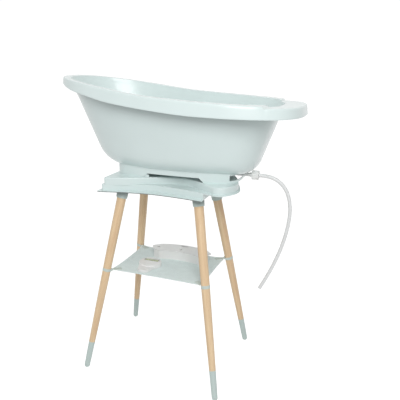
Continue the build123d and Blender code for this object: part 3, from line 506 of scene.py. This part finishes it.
def wall_ring(share, inset, floor_z, top_of):
    """One ring of the bowl's wall, a share of the way from its floor to its top edge."""
    points = []
    base = {part: wall_reach(part, wall_height_guess * share, inset) for part in walls}
    for turn in ring_turns(base["head"], base["foot"], base["side"]):
        top = wall_height_guess
        for _ in range(6):
            reach = [wall_reach(part, top, inset) for part in ("head", "foot", "side")]
            top = top_of(outline_point(turn, *reach)[0]) - floor_z
        height = top * share
        reach = [wall_reach(part, height, inset) for part in ("head", "foot", "side")]
        x, y = outline_point(turn, *reach)
        points.append((x, y, floor_z + height))
    return points


def rim_ring(inset, level):
    """One ring of the rim: set in from its flared outside, at the height that level gives for x."""
    points = []
    size = {part: rim_reach[part] - inset for part in rim_reach}
    for turn in ring_turns(size["head"], size["foot"], size["side"]):
        z = level(outline_point(turn, size["head"], size["foot"], size["side"])[0])
        flare = rim_flare * (rim_head_z - z)
        x, y = outline_point(turn, size["head"] + flare, size["foot"] + flare, size["side"] + flare)
        points.append((x, y, level(x)))
    return points


def between(ring_a, ring_b, share, level=None):
    """A ring part of the way from one to another; level gives its height from x."""
    points = []
    for a, b in zip(ring_a, ring_b):
        x, y, z = (p + (q - p) * share for p, q in zip(a, b))
        points.append((x, y, z if level is None else level(x)))
    return points


def circle_ring(like, radius, z):
    """A ring round the drain hole, each point towards its partner of another ring."""
    points = []
    for x, y, _ in like:
        angle = math.atan2(y - drain_place[1], x - drain_place[0])
        points.append((drain_place[0] + radius * math.cos(angle), drain_place[1] + radius * math.sin(angle),
                       z))
    return points


def loop_mesh(name, rings, offset, closed=True):
    """Quads between rings of as many points; closed joins the last ring to the first."""
    count = len(rings[0])
    verts = [(x + offset[0], y + offset[1], z + offset[2]) for ring in rings for x, y, z in ring]
    faces = []
    last = len(rings) if closed else len(rings) - 1
    for row in range(last):
        start, end = row * count, ((row + 1) % len(rings)) * count
        for step in range(count):
            after = (step + 1) % count
            faces.append((start + step, start + after, end + after, end + step))
    mesh = bpy.data.meshes.new(name)
    mesh.from_pydata(verts, [], faces)
    mesh.validate()
    return mesh


def quarter(count):
    """Sine and cosine steps of a quarter turn, both ends included."""
    turns = [math.pi / 2 * step / count for step in range(count + 1)]
    return [(math.sin(turn), math.cos(turn)) for turn in turns]


def tub_rings():
    """The whole skin, inside and out, from the drain hole over the rim and back under the floor."""
    inner_floor = floor_rise + tub_wall
    low = wall_ring(0.0, tub_wall, inner_floor, rim_top)
    rings = [circle_ring(low, drain_radius, inner_floor - drain_edge),
             circle_ring(low, drain_radius + drain_edge, inner_floor)]
    hole = circle_ring(low, drain_radius + drain_apron, inner_floor)
    rings += [between(hole, low, share) for share in (0.0, 0.25, 0.5, 0.75)]
    rings += [wall_ring(share, tub_wall, inner_floor, lambda x: rim_top(x) - lip_round)
              for share in wall_shares]
    lip = wall_ring(1.0, tub_wall, inner_floor, rim_top)
    outer_top = rim_ring(rim_round, rim_top)
    for sine, cosine in quarter(4):
        row = []
        for (x, y, _), (far_x, far_y, _) in zip(lip, outer_top):
            out = lip_round * (1 - cosine) / math.hypot(far_x - x, far_y - y)
            new_x, new_y = x + (far_x - x) * out, y + (far_y - y) * out
            row.append((new_x, new_y, rim_top(new_x) - lip_round * (1 - sine)))
        rings.append(row)
    deck_start = rings[-1]
    rings += [between(deck_start, outer_top, share, rim_top) for share in (0.25, 0.5, 0.75)]
    for sine, cosine in quarter(5):
        rings.append(rim_ring(rim_round * (1 - sine), lambda x: rim_top(x) - rim_round * (1 - cosine)))
    for share in (0.15, 0.3, 0.45, 0.6, 0.75, 0.9):
        rings.append(rim_ring(0.0, lambda x: (rim_top(x) - rim_round) * (1 - share)
                              + (skirt_bottom(x) + skirt_edge[0][1]) * share))
    rings += [rim_ring(inset, lambda x: skirt_bottom(x) + rise) for inset, rise in skirt_edge]
    for share in (0.25, 0.5, 0.75, 0.92):
        rings.append(rim_ring(skirt_wall, lambda x: skirt_bottom(x) * (1 - share)
                              + (rim_top(x) - deck_wall) * share))
    under = rim_ring(skirt_wall + under_deck_start, lambda x: rim_top(x) - deck_wall)
    rings.append(under)
    wall_top = wall_ring(1.0, 0.0, floor_rise, lambda x: rim_top(x) - deck_wall)
    rings += [between(under, wall_top, share, lambda x: rim_top(x) - deck_wall) for share in (0.3, 0.6, 0.9)]
    outer_start = len(rings)
    for share in sorted(wall_shares + shadow_shares, reverse=True):
        rings.append(wall_ring(share, 0.0, floor_rise, lambda x: rim_top(x) - deck_wall))
    bottom = rings[-1]
    hole = circle_ring(bottom, drain_radius, floor_rise)
    rings += [between(bottom, hole, share) for share in (0.4, 0.8)]
    rings.append(hole)
    return rings, outer_start


def make_tub():
    rings, outer_start = tub_rings()
    mesh = loop_mesh("tub_shell", rings, (0, tub_y, seat_z))
    shadow = mesh.attributes.new("rim_shadow", "FLOAT", "POINT")
    for index, (x, _, z) in enumerate(point for ring in rings for point in ring):
        if index >= outer_start * around_count:
            below = max(0.0, skirt_bottom(x) - z)
            shadow.data[index].value = sum(depth * math.exp(-below / fade) for depth, fade in rim_shadows)
    shell = make_object("tub_shell", mesh, tub_plastic, "tub")
    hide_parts("tub_bowl", "tub_rim")
    bm = bmesh.new()
    bm.from_mesh(mesh)
    bmesh.ops.recalc_face_normals(bm, faces=bm.faces)
    bm.to_mesh(mesh)
    bm.free()


def make_hose():
    curve = bpy.data.curves.new("hose_tube", "CURVE")
    curve.dimensions = "3D"
    curve.bevel_depth = hose_radius
    curve.bevel_resolution = 8
    curve.resolution_u = 16
    spline = curve.splines.new("NURBS")
    spline.points.add(len(hose_route) - 1)
    for point, place in zip(spline.points, hose_route):
        point.co = place + (1.0,)
    spline.order_u = 3
    spline.use_endpoint_u = True
    hose = bpy.data.objects.new("hose_tube", curve)
    bpy.context.scene.collection.objects.link(hose)
    curve.materials.append(hose_plastic)
    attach(hose, "tub")
    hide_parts("drain_hose")
    end, before = Vector(hose_route[-1]), Vector(hose_route[-2])
    back = (before - end).normalized()
    side = back.orthogonal().normalized()
    cross = back.cross(side)
    profile = [(hose_radius, mouth_round), (hose_radius - mouth_round, 0.0),
               (hose_bore_radius + mouth_round, 0.0), (hose_bore_radius, mouth_round),
               (hose_bore_radius, mouth_depth)]
    rings = []
    for radius, depth in profile:
        rings.append([tuple(end + back * depth + (side * math.cos(turn) + cross * math.sin(turn)) * radius)
                      for turn in (2 * math.pi * step / mouth_sides for step in range(mouth_sides))])
    mouth = make_object("hose_mouth", loop_mesh("hose_mouth", rings, (0, 0, 0), closed=False), hose_plastic,
                        "tub")


def crease_at(x, y):
    """Height of the fold line that crosses the cloth."""
    (x_a, y_a), (x_b, y_b) = crease_ends
    crease_x = x_a + (x_b - x_a) * (y - y_a) / (y_b - y_a)
    return crease_height * math.exp(-((x - crease_x) / crease_width) ** 2)


def cloth_point(u, v):
    """A point of the middle of the shelf's cloth: its edges run almost straight and flare at the corners."""
    a, b = 2 * u - 1, 2 * v - 1
    flare_a, flare_b = ((c * c + c ** cloth_flare_power) / 2 for c in (a, b))
    x = a * (cloth_edge[0] + (cloth_corner[0] - cloth_edge[0]) * flare_b)
    y = b * (cloth_edge[1] + (cloth_corner[1] - cloth_edge[1]) * flare_a)
    z = shelf_low.z + cloth_thickness / 2 + cloth_rise * (a * b) ** cloth_flare_power
    return x, y, z + crease_at(x, y)


def hem_steps(hem, length, count):
    """Shares across the cloth: close together at the edge and at the hem's seam, even between."""
    near = [0.0, 0.0004, 0.0012, hem / 2, hem - seam_round, hem - seam_round / 2, hem, hem + seam_round]
    near = [place / length for place in near]
    inner = [near[-1] + (1 - 2 * near[-1]) * step / count for step in range(1, count)]
    return near + inner + [1 - share for share in reversed(near)]


def stitch_row(start, end, height_at):
    """Small raised stitches from one point to another of the cloth."""
    verts, faces = [], []
    run = Vector(end) - Vector(start)
    count = max(1, int(run.length / stitch_pitch))
    along = run.normalized()
    side = Vector((-along.y, along.x))
    for index in range(count):
        middle = Vector(start) + run * (index + 0.5) / count
        first = len(verts)
        for reach, width in stitch_profile:
            place = middle + along * stitch_length * reach
            z = height_at(place.x, place.y)
            for turn in range(stitch_sides):
                angle = 2 * math.pi / stitch_sides * turn
                out = side * math.cos(angle) * stitch_radius * width
                verts.append((place.x + out.x, place.y + out.y, z + math.sin(angle) * stitch_radius * width))
        last = len(verts) - stitch_sides
        for row in range(first, last, stitch_sides):
            for turn in range(stitch_sides):
                a, b = row + turn, row + (turn + 1) % stitch_sides
                faces.append((a, b, b + stitch_sides, a + stitch_sides))
        faces.append(tuple(range(first + stitch_sides - 1, first - 1, -1)))
        faces.append(tuple(range(last, last + stitch_sides)))
    return verts, faces


def gather(name, parts):
    verts, faces = [], []
    for part_verts, part_faces in parts:
        first = len(verts)
        verts += part_verts
        faces += [tuple(index + first for index in face) for face in part_faces]
    mesh = bpy.data.meshes.new(name)
    mesh.from_pydata(verts, [], faces)
    return mesh


def strap_frame(side_x, side_y):
    """A leg's axis at the strap, the way to the shelf's middle square to that axis, and the way across."""
    share = strap_z / leg_top_rise
    foot = Vector((side_x * leg_foot_reach[0], side_y * leg_foot_reach[1], 0))
    top = Vector((side_x * leg_top_reach[0], side_y * leg_top_reach[1], leg_top_rise))
    place = foot.lerp(top, share)
    axis = (top - foot).normalized()
    inward = Vector((-place.x, -place.y, 0)).normalized()
    across = axis.cross(inward).normalized()
    return place, axis, across.cross(axis), across, inward


def strap_path():
    """A drop-shaped path round the leg: out from the neck, round, and back, with its height at each point."""
    middle_radius = strap_radius + strap_thickness / 2
    tangent = math.acos(middle_radius / neck_reach)
    gap = strap_thickness * neck_gap
    ring = [tangent + (2 * math.pi - 2 * tangent) * step / strap_steps for step in range(strap_steps + 1)]
    ring = [(middle_radius * math.cos(turn), middle_radius * math.sin(turn)) for turn in ring]
    points = []
    for end, sign in ((ring[0], 1), (ring[-1], -1)):
        leg = []
        for step in range(neck_steps):
            share = step / neck_steps
            leg.append((neck_reach + (end[0] - neck_reach) * share,
                        sign * gap + (end[1] - sign * gap) * share,
                        neck_height + (strap_height - neck_height) * smooth_step(share)))
        points.append(leg)
    return points[0] + [(x, y, strap_height) for x, y in ring] + points[1][::-1]


def make_strap(corner, side_x, side_y):
    """Webbing round one leg, and its tongue sewn flat on the cloth's corner."""
    place, axis, toward, across, inward = strap_frame(side_x, side_y)
    path = strap_path()
    rings = []
    for index, (x, y, height) in enumerate(path):
        before, after = path[max(index - 1, 0)], path[min(index + 1, len(path) - 1)]
        run = Vector((after[0] - before[0], after[1] - before[1])).normalized()
        out = Vector((run.y, -run.x)) * strap_thickness / 2
        drop = (strap_height - height) / (strap_height - neck_height)
        ring = []
        for wide, thick in webbing_profile:
            point = place + toward * (x + out.x * thick) + across * (y + out.y * thick) + axis * height * wide
            point.z += drop * (hem_top + strap_thickness / 2 - point.z + height * wide)
            ring.append(tuple(point))
        rings.append(ring)
    verts = [point for ring in rings for point in ring]
    sides = len(webbing_profile)
    faces = []
    for row in range(0, len(verts) - sides, sides):
        for step in range(sides):
            after = (step + 1) % sides
            faces.append((row + step, row + after, row + sides + after, row + sides + step))
    faces += [tuple(range(sides)), tuple(range(len(verts) - 1, len(verts) - sides - 1, -1))]
    flat = Vector((inward.x, inward.y))
    side = Vector((-flat.y, flat.x))
    base = Vector((place.x, place.y))
    tongue_verts, tongue_faces = [], []
    steps = [tongue_round * share for share in tongue_round_steps]
    lengths = ([tongue_start + step for step in steps] + [(tongue_start + tongue_end) / 2]
               + [tongue_end - step for step in reversed(steps)])
    widths = ([-tongue_half_width + step for step in steps] + [0.0]
              + [tongue_half_width - step for step in reversed(steps)])
    for level in (1, -1):
        for length in lengths:
            for width in widths:
                rim = min(length - tongue_start, tongue_end - length, tongue_half_width - abs(width))
                rim = math.sqrt(1 - (1 - min(1.0, rim / tongue_round)) ** 2)
                spot = base + flat * length + side * width
                rise = strap_thickness * rim if level > 0 else -tongue_sink
                tongue_verts.append((spot.x, spot.y, hem_top + rise))
    wide, deep = len(widths), len(lengths)
    for row in range(deep - 1):
        for step in range(wide - 1):
            low = row * wide + step
            tongue_faces.append((low, low + wide, low + wide + 1, low + 1))
            low += wide * deep
            tongue_faces.append((low, low + 1, low + wide + 1, low + wide))
    border = ([(0, step) for step in range(wide)] + [(row, wide - 1) for row in range(1, deep)]
              + [(deep - 1, step) for step in range(wide - 2, -1, -1)]
              + [(row, 0) for row in range(deep - 2, 0, -1)])
    border = [row * wide + step for row, step in border]
    for first, after in zip(border, border[1:] + border[:1]):
        tongue_faces.append((first, after, after + wide * deep, first + wide * deep))
    mesh = gather("strap_" + corner, [(verts, faces), (tongue_verts, tongue_faces)])
    mesh.transform(Matrix.Translation(stand_middle))
    strap = make_object("strap_" + corner, mesh, strap_woven, "stand")
    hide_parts("shelf_loop_" + corner)
    near, far, aside = tongue_start + box_seam_start, tongue_end - box_seam_end, box_seam_half_width
    spots = [base + flat * length + side * width
             for length, width in ((near, -aside), (far, -aside), (far, aside), (near, aside))]
    top = hem_top + strap_thickness
    return strap, [stitch_row(spots[a], spots[b], lambda x, y: top) for a, b in cross_pairs]


def seam_shares(margin):
    return [margin + (1 - 2 * margin) * step / seam_steps for step in range(seam_steps + 1)]


def make_shelf():
    across = hem_steps(side_hem, 2 * cloth_corner[0], cloth_steps[0])
    deep = hem_steps(end_hem, 2 * cloth_corner[1], cloth_steps[1])
    verts, faces, hemmed = [], [], []
    for v in deep:
        for u in across:
            x, y, z = cloth_point(u, v)
            from_side = min(u, 1 - u) * 2 * cloth_corner[0]
            from_end = min(v, 1 - v) * 2 * cloth_corner[1]
            if from_side < side_hem - seam_round / 4 or from_end < end_hem - seam_round / 4:
                hemmed.append(len(verts))
            verts.append((x + stand_middle.x, y + stand_middle.y, z))
    wide = len(across)
    for row in range(len(deep) - 1):
        for step in range(wide - 1):
            start = row * wide + step
            faces.append((start, start + 1, start + 1 + wide, start + wide))
    mesh = bpy.data.meshes.new("shelf_cloth")
    mesh.from_pydata(verts, [], faces)
    cloth = make_object("shelf_cloth", mesh, cloth_woven, "stand")
    hem = cloth.vertex_groups.new(name="hem")
    hem.add(hemmed, 1.0, "REPLACE")
    thick = cloth.modifiers.new("thick", "SOLIDIFY")
    thick.thickness = hem_thickness
    thick.offset = 0.0
    thick.vertex_group = "hem"
    thick.thickness_vertex_group = cloth_thickness / hem_thickness
    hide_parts("shelf_sheet")
    straps, rows = [], []
    for corner, (side_x, side_y) in zip(corners, ((-1, -1), (1, -1), (1, 1), (-1, 1))):
        strap, stitches = make_strap(corner, side_x, side_y)
        straps.append(strap)
        rows += stitches
    lines = []
    for edge in (0.0, 1.0):
        in_hem, margin = side_seam
        u = abs(edge - side_hem / 2 / cloth_corner[0] * in_hem)
        lines.append(([cloth_point(u, v) for v in seam_shares(margin)], lambda x, y: hem_top))
    for edge in (0.0, 1.0):
        in_hem, margin = end_seam
        v = abs(edge - end_hem / 2 / cloth_corner[1] * in_hem)
        lines.append(([cloth_point(u, v) for u in seam_shares(margin)],
                      lambda x, y: hem_top + crease_at(x, y)))
    for line, height_at in lines:
        rows += [stitch_row(a[:2], b[:2], height_at) for a, b in zip(line, line[1:])]
    mesh = gather("shelf_stitches", rows)
    mesh.transform(Matrix.Translation(stand_middle))
    make_object("shelf_stitches", mesh, thread, "stand")


def make_digits():
    """Seven-segment digits on the display, behind the lens."""
    low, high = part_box("thermometer_display")
    middle = (low + high) / 2
    segments = {"a": (0, 1, False), "b": (1, 0.5, True), "c": (1, -0.5, True), "d": (0, -1, False),
                "e": (-1, -0.5, True), "f": (-1, 0.5, True), "g": (0, 0, False)}
    shapes = {"3": "abcdg", "6": "acdefg", "8": "abcdefg"}
    half_x, half_y = (digit_width - segment_width) / 2, (digit_height - segment_width) / 2
    parts = []
    places = [mark for mark in digit_text if mark != "."]
    for index, mark in enumerate(places):
        x = middle.x + (index - (len(places) - 1) / 2) * digit_pitch
        bars = [(x + half_x * segments[key][0], middle.y + half_y * segments[key][1], segments[key][2])
                for key in shapes[mark]]
        for bar_x, bar_y, upright in bars:
            length = (half_y if upright else 2 * half_x) - segment_width * segment_gap
            parts.append(bar(bar_x, bar_y, length, upright, high.z))
        if digit_text[index + 1:index + 2] == ".":
            parts.append(bar(x + digit_pitch / 2, middle.y - half_y, segment_width, False, high.z))
    make_object("display_digits", gather("display_digits", parts), ink, "thermometer",
                smooth=False)


def bar(x, y, length, upright, z):
    """One segment: a flat bar with pointed ends."""
    tip = min(segment_width / 2, length / 4)
    end, half_width = length / 2, segment_width / 2
    outline = [(-end, 0), (-end + tip, half_width), (end - tip, half_width), (end, 0),
               (end - tip, -half_width), (-end + tip, -half_width)]
    if upright:
        outline = [(q, p) for p, q in outline]
    verts = [(x + p, y + q, z + rise) for rise in (0.0, segment_rise) for p, q in outline]
    faces = [tuple(range(5, -1, -1)), tuple(range(6, 12))]
    faces += [(side, (side + 1) % 6, (side + 1) % 6 + 6, side + 6) for side in range(6)]
    return verts, faces


# Floor, light and camera

def seen_past(tree):
    """1 on a ray that shows the background: from the camera, mirrored, or through a clear piece."""
    rays = add(tree, "ShaderNodeLightPath")
    seen = add(tree, "ShaderNodeMath", operation="MAXIMUM", _0=(rays, "Is Camera Ray"),
               _1=(rays, "Is Glossy Ray"))
    return add(tree, "ShaderNodeMath", operation="MAXIMUM", _0=(seen, 0), _1=(rays, "Is Transmission Ray"))


def make_stage():
    bpy.ops.mesh.primitive_plane_add(size=floor_size)
    floor = bpy.context.object
    floor.name = "floor"
    material, tree, shader = start_material("floor")
    shader.inputs["Base Color"].default_value = floor_grey + (1,)
    shader.inputs["Roughness"].default_value = floor_roughness
    shader.inputs["Specular IOR Level"].default_value = floor_gloss
    share = add(tree, "ShaderNodeMath", operation="MULTIPLY", _0=(seen_past(tree), 0), _1=floor_glow_share)
    glow = add(tree, "ShaderNodeEmission", Color=(1, 1, 1, 1), Strength=floor_glow)
    mix = add(tree, "ShaderNodeMixShader", Fac=(share, 0))
    tree.links.new(shader.outputs[0], mix.inputs[1])
    tree.links.new(glow.outputs[0], mix.inputs[2])
    tree.links.new(mix.outputs[0], tree.nodes["Material Output"].inputs["Surface"])
    floor.data.materials.append(material)


def make_light():
    world = bpy.data.worlds.new("studio")
    bpy.context.scene.world = world
    world.use_nodes = True
    tree = world.node_tree
    background = tree.nodes["Background"]
    level = add(tree, "ShaderNodeMapRange", Value=(seen_past(tree), 0), **lower_and_upper(world_levels))
    tree.links.new(level.outputs[0], background.inputs["Strength"])
    background.inputs["Color"].default_value = (1, 1, 1, 1)
    for name, place, size, power in lamps:
        lamp = bpy.data.lights.new(name, "AREA")
        lamp.size = size
        lamp.energy = power
        piece = bpy.data.objects.new(name, lamp)
        piece.location = place
        piece.rotation_euler = (lamp_target - Vector(place)).to_track_quat("-Z", "Y").to_euler()
        bpy.context.scene.collection.objects.link(piece)


def make_camera():
    lens = bpy.data.cameras.new("camera")
    camera = bpy.data.objects.new("camera", lens)
    bpy.context.scene.collection.objects.link(camera)
    azimuth, tilt = math.radians(camera_azimuth), math.radians(camera_tilt)
    forward = Vector((-math.sin(azimuth) * math.cos(tilt), math.cos(azimuth) * math.cos(tilt),
                      -math.sin(tilt)))
    camera.location = camera_place
    camera.rotation_euler = forward.to_track_quat("-Z", "Y").to_euler()
    lens.sensor_width = sensor_width
    lens.lens = photo_focal * sensor_width / photo_size
    lens.shift_x = 0.5 - photo_centre[0] / photo_size
    lens.shift_y = photo_centre[1] / photo_size - 0.5
    lens.clip_end = 50
    bpy.context.scene.camera = camera
    bpy.context.scene.view_settings.view_transform = "Standard"


# Finishes

def dress(material, *names):
    for name in names:
        slots = nodes[name].material_slots
        for slot in slots:
            slot.material = material
        if not slots:
            nodes[name].data.materials.append(material)


def soften(width, *names):
    """A small bevel on a moulding's sharp edges."""
    for name in names:
        bevel = nodes[name].modifiers.new("soft_edges", "BEVEL")
        bevel.width = width
        bevel.segments = 2
        bevel.limit_method = "ANGLE"
        bevel.angle_limit = math.radians(40)
        bevel.harden_normals = True


make_stage()
make_light()
make_camera()
tub_plastic = plastic("tub_plastic", mint, 0.30, coat=0.35)
tray_plastic = plastic("tray_plastic", mint, 0.32, coat=0.25)
socket_plastic = plastic("socket_plastic", socket_mint, 0.42)
cap_plastic = plastic("cap_plastic", cap_mint, 0.5, grain_scale=1400.0, grain_depth=0.00004)
white_plastic = plastic("white_plastic", off_white, 0.36, coat=0.1)
hose_plastic = plastic("hose_plastic", hose_white, 0.3, drift=0.02, coat=0.2)
grey_rubber = plastic("grey_rubber", rubber_grey, 0.7)
display_plastic = plastic("display_plastic", display_green, 0.5)
board_plastic = plastic("board_plastic", board_green, 0.45)
steel = metal("steel", steel_grey, 0.35)
brass = metal("brass", brass_yellow, 0.32)
cloth_woven = woven("cloth_woven", cloth_mint, 0.0009)
strap_woven = woven("strap_woven", strap_mint, 0.0020, ways="Z")
thread = woven("thread", strap_mint, 0.0004, rough=0.7)
ink = plastic("ink", ink_black, 0.6)
lens_window = window("lens_window")

shade_marked(tub_plastic, "rim_shadow")
# The tray's painted shadow on the sockets, and a painted shade line along the front of its flange
flange_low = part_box("stand_tray")[0].z
shade_below(socket_plastic, flange_low - 0.032, flange_low - 0.006, 0.84, 0.30)
shade_below(tray_plastic, flange_low + 0.0026, flange_low + 0.0034, 0.26, 1.0, facing=-0.3)

dress(tub_plastic, "tub_base_ring")
dress(tray_plastic, "stand_tray", "tray_tabs")
dress(white_plastic, "drain_body", "drain_strainer", "drain_plug", "hose_nut", "hose_tail",
      "accessory_holder", "thermometer_back", "thermometer_front", "battery_door")
dress(grey_rubber, "drain_gasket", "hose_washer", "battery_seal")
dress(steel, "leg_bolts", "socket_screws", "thermometer_cell", "thermometer_probe", "thermometer_screws")
dress(brass, "socket_inserts")
dress(display_plastic, "thermometer_display")
dress(board_plastic, "thermometer_board")
dress(lens_window, "thermometer_lens")
for corner in corners:
    cap_low, cap_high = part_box("foot_cap_" + corner)
    leg_low, leg_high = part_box("leg_" + corner)
    leg_foot = (cap_low + cap_high) / 2
    leg_top = (leg_low + leg_high) / 2
    dress(wood("wood_" + corner, leg_foot, leg_top), "leg_" + corner)
    dress(cap_plastic, "foot_cap_" + corner)
    dress(socket_plastic, "leg_socket_" + corner)
make_tub()
make_hose()
make_shelf()
make_digits()
soften(0.0010, "stand_tray")
soften(0.0006, "accessory_holder", "thermometer_front", "thermometer_back", "hose_nut", "tub_base_ring",
       "tray_tabs")
soften(0.0004, *["leg_socket_" + corner for corner in corners], "drain_plug", "drain_body")

bpy.context.view_layer.update()
